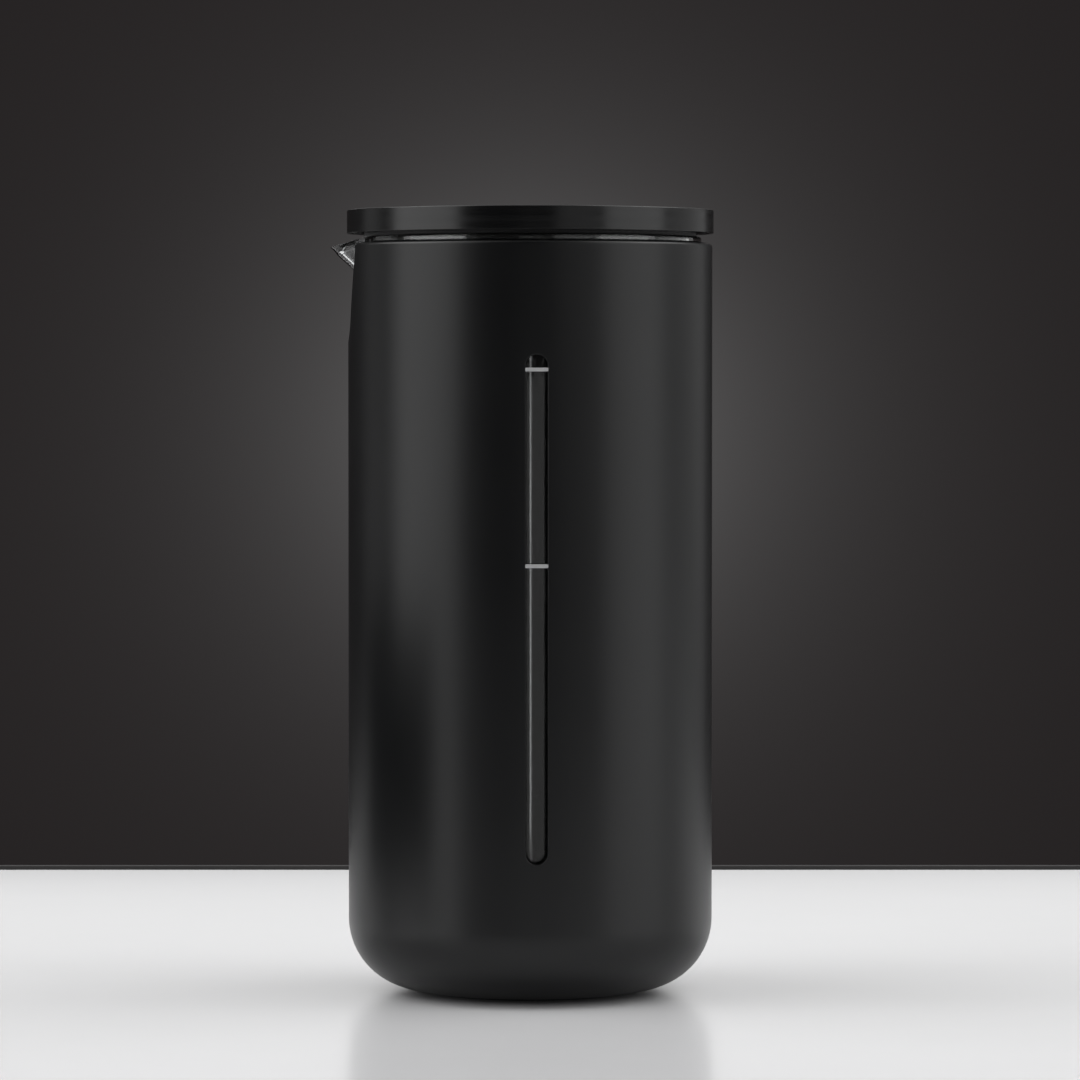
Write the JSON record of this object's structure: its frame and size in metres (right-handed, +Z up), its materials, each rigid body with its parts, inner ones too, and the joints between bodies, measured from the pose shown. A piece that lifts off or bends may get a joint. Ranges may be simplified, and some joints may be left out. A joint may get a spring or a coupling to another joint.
{
  "type": "french press",
  "caption": "Cylindrical coffee press: glass beaker with spout in a black sleeve with a sight slot, and a plunger whose handle is a flat disc over the lid.",
  "frame": {"origin": "centre of the foot's flat underside, on the surface that the press stands on", "axes": "+Z up along the plunger's rod; the pouring spout points along -X and the sight slot faces -Y"},
  "size_m": [0.0831, 0.0794, 0.1694],
  "materials": {
    "sleeve_black": "fine matt texture, moulded",
    "silicone_black": "soft matt silicone",
    "silicone_grey": "soft matt silicone",
    "mark_grey": "satin light grey",
    "clear_glass": "clear borosilicate, fire polished rim",
    "lid_black": "satin moulded",
    "bush_natural": "natural acetal",
    "spring_steel": "sprung, bright",
    "rod_steel": "ground and polished",
    "disc_black": "black, turned with a fine circular grain",
    "insert_brass": "machined",
    "filter_steel": "stamped stainless steel",
    "mesh_steel": "woven stainless steel wire"
  },
  "bodies": {
    "shell": {"outer_shell": "sleeve_black", "foot_pad": "silicone_black", "base_cushion": "silicone_grey", "lower_band": "silicone_grey", "upper_band": "silicone_grey", "level_mark_300": "mark_grey", "level_mark_450": "mark_grey"},
    "beaker": {"glass_beaker": "clear_glass"},
    "lid_seat": {"lid_seat_ring": "silicone_black"},
    "lid": {"inner_lid": "lid_black"},
    "bush": {"rod_bush": "bush_natural", "bush_retainer": "spring_steel"},
    "plunger": {"plunger_rod": "rod_steel", "disc_cover": "disc_black", "disc_core": "lid_black", "rod_insert": "insert_brass", "filter_hub": "filter_steel", "spring_plate": "filter_steel", "spring_coil": "spring_steel", "filter_mesh": "mesh_steel", "perforated_plate": "filter_steel", "hub_nut": "filter_steel"}
  },
  "joints": [
    {"name": "beaker_lift", "type": "slide", "parent": "shell", "child": "beaker", "axis": [0, 0, 1], "range_m": [0, 0.16]},
    {"name": "lid_lift", "type": "slide", "parent": "beaker", "child": "lid_seat", "axis": [0, 0, 1], "range_m": [0, 0.16]},
    {"name": "lid_turn", "type": "hinge", "parent": "lid_seat", "child": "lid", "pos_m": [0, 0, 0.1644], "axis": [0, 0, 1], "continuous": true},
    {"name": "plunger_turn", "type": "hinge", "parent": "lid", "child": "bush", "pos_m": [0, 0, 0.158], "axis": [0, 0, 1], "continuous": true},
    {"name": "plunge", "type": "slide", "parent": "bush", "child": "plunger", "axis": [0, 0, 1], "range_m": [0, 0.125]}
  ]
}
